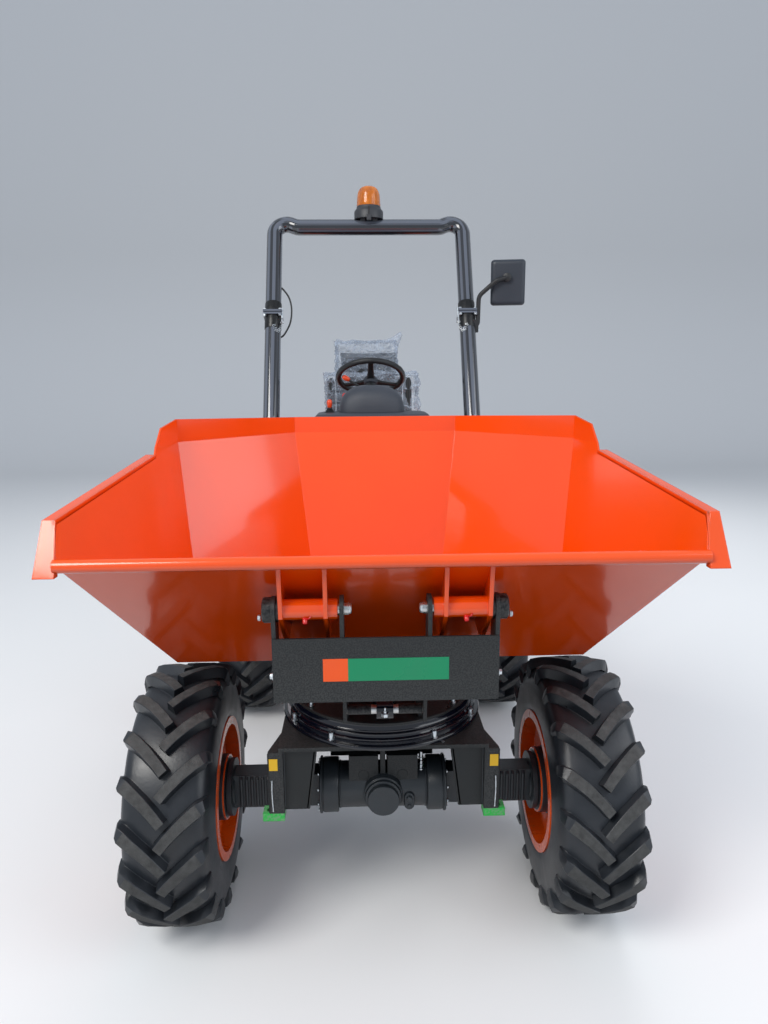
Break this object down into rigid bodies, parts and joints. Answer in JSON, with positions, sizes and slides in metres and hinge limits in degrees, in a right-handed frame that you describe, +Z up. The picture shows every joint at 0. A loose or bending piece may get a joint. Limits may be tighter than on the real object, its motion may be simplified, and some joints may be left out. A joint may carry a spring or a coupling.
{
  "type": "articulated site dumper with a swivelling skip",
  "caption": "Small articulated site dumper: a folded skip tips forward on a slew ring ahead of a driver's seat, with a folding protective arch.",
  "frame": {"origin": "on the ground below the middle of the outside box", "axes": "+Z up, -Y the way the machine drives forwards, +X its left side"},
  "size_m": [1.5658, 3.0315, 2.535],
  "materials": {
    "chassis_paint": "satin dark charcoal paint",
    "gloss_black": "gloss black paint",
    "skip_paint": "gloss orange-red paint",
    "rim_paint": "satin orange-red paint",
    "tyre": "matt black rubber",
    "steel": "plain steel",
    "cylinder_paint": "gloss black paint",
    "chrome": "hard chrome",
    "green_paint": "satin green paint",
    "engine_paint": "painted casting",
    "hood_paint": "gloss orange-red paint",
    "seat_cover": "grained vinyl",
    "dash_plastic": "grained dark grey plastic",
    "lever_knobs": "orange-red plastic",
    "arch_paint": "dark grey paint",
    "beacon_black": "black plastic",
    "beacon_amber": "amber lens",
    "lamp_red": "red lens"
  },
  "bodies": {
    "front_chassis": {"front_frame": "chassis_paint", "tie_down_plates": "green_paint", "slew_ring": "gloss_black", "front_axle": "chassis_paint"},
    "swivel_table": {"swivel_plate": "chassis_paint", "swivel_frame": "chassis_paint", "tip_pins": "steel"},
    "skip": {"skip_tub": "skip_paint", "skip_rim": "skip_paint", "skip_brackets": "skip_paint"},
    "tip_barrel": {"tip_barrel": "cylinder_paint"},
    "tip_rod": {"tip_rod": "chrome"},
    "steering_barrel": {"steering_barrel": "cylinder_paint"},
    "steering_rod": {"steering_rod": "chrome"},
    "front_left_wheel": {"front_left_tyre": "tyre", "front_left_rim": "rim_paint"},
    "front_right_wheel": {"front_right_tyre": "tyre", "front_right_rim": "rim_paint"},
    "rear_left_wheel": {"rear_left_tyre": "tyre", "rear_left_rim": "rim_paint"},
    "rear_right_wheel": {"rear_right_tyre": "tyre", "rear_right_rim": "rim_paint"},
    "rear_chassis": {"rear_frame": "chassis_paint", "pivot_pin": "steel", "rear_axle": "chassis_paint", "steps": "chassis_paint", "platform": "chassis_paint", "mudguards": "chassis_paint", "engine_block": "engine_paint", "side_tanks": "chassis_paint", "rear_bumper": "chassis_paint", "tail_lamps": "lamp_red", "dash_console": "dash_plastic", "steering_column": "chassis_paint", "control_levers": "lever_knobs", "arch_posts": "arch_paint", "mirror": "dash_plastic"},
    "steering_wheel": {"steering_wheel": "dash_plastic"},
    "arch_hoop": {"arch_hoop": "arch_paint", "beacon_base": "beacon_black", "beacon_lens": "beacon_amber"},
    "hood": {"engine_hood": "hood_paint", "seat_cushion": "seat_cover", "seat_backrest": "seat_cover"}
  },
  "joints": [
    {"name": "articulation", "type": "hinge", "parent": "rear_chassis", "child": "front_chassis", "pos_m": [0, -0.2755, 0.492], "axis": [0, 0, 1], "range_deg": [-33, 33]},
    {"name": "swivel", "type": "hinge", "parent": "front_chassis", "child": "swivel_table", "pos_m": [0, -0.9155, 0.652], "axis": [0, 0, 1], "range_deg": [-90, 90]},
    {"name": "tip", "type": "hinge", "parent": "swivel_table", "child": "skip", "pos_m": [0, -1.4305, 1.0965], "axis": [1, 0, 0], "range_deg": [0, 60]},
    {"name": "tip_barrel_swing", "type": "hinge", "parent": "swivel_table", "child": "tip_barrel", "pos_m": [0, -1.2955, 0.773], "axis": [1, 0, 0], "range_deg": [0, 60]},
    {"name": "tip_rod_slide", "type": "slide", "parent": "tip_barrel", "child": "tip_rod", "axis": [0, 1, 0], "range_m": [0, 0.37]},
    {"name": "steering_barrel_swing", "type": "hinge", "parent": "rear_chassis", "child": "steering_barrel", "pos_m": [-0.195, 0.2045, 0.492], "axis": [0, 0, 1], "range_deg": [-8, 8]},
    {"name": "steering_rod_slide", "type": "slide", "parent": "steering_barrel", "child": "steering_rod", "axis": [0, -1, 0], "range_m": [-0.115, 0.115]},
    {"name": "steering_wheel_turn", "type": "hinge", "parent": "rear_chassis", "child": "steering_wheel", "pos_m": [0, 0.7345, 1.622], "axis": [0, 0.5, 0.866], "continuous": true},
    {"name": "arch_fold", "type": "hinge", "parent": "rear_chassis", "child": "arch_hoop", "pos_m": [0, 0.60911, 1.88175], "axis": [-1, 0, 0], "range_deg": [0, 80]},
    {"name": "hood_tilt", "type": "hinge", "parent": "rear_chassis", "child": "hood", "pos_m": [0, 1.4305, 0.815], "axis": [-1, 0, 0], "range_deg": [0, 50]},
    {"name": "front_left_roll", "type": "hinge", "parent": "front_chassis", "child": "front_left_wheel", "pos_m": [0.59, -0.9955, 0.38], "axis": [1, 0, 0], "continuous": true},
    {"name": "front_right_roll", "type": "hinge", "parent": "front_chassis", "child": "front_right_wheel", "pos_m": [-0.59, -0.9955, 0.38], "axis": [1, 0, 0], "continuous": true},
    {"name": "rear_left_roll", "type": "hinge", "parent": "rear_chassis", "child": "rear_left_wheel", "pos_m": [0.59, 0.4315, 0.38], "axis": [1, 0, 0], "continuous": true},
    {"name": "rear_right_roll", "type": "hinge", "parent": "rear_chassis", "child": "rear_right_wheel", "pos_m": [-0.59, 0.4315, 0.38], "axis": [1, 0, 0], "continuous": true}
  ],
  "couplings": [
    {"joint": "tip_barrel_swing", "follows": "tip", "ratio": 0.95668},
    {"joint": "tip_rod_slide", "follows": "tip", "m_per_rad": 0.33296},
    {"joint": "steering_barrel_swing", "follows": "articulation", "ratio": 0.15431},
    {"joint": "steering_rod_slide", "follows": "articulation", "m_per_rad": 0.18866}
  ]
}
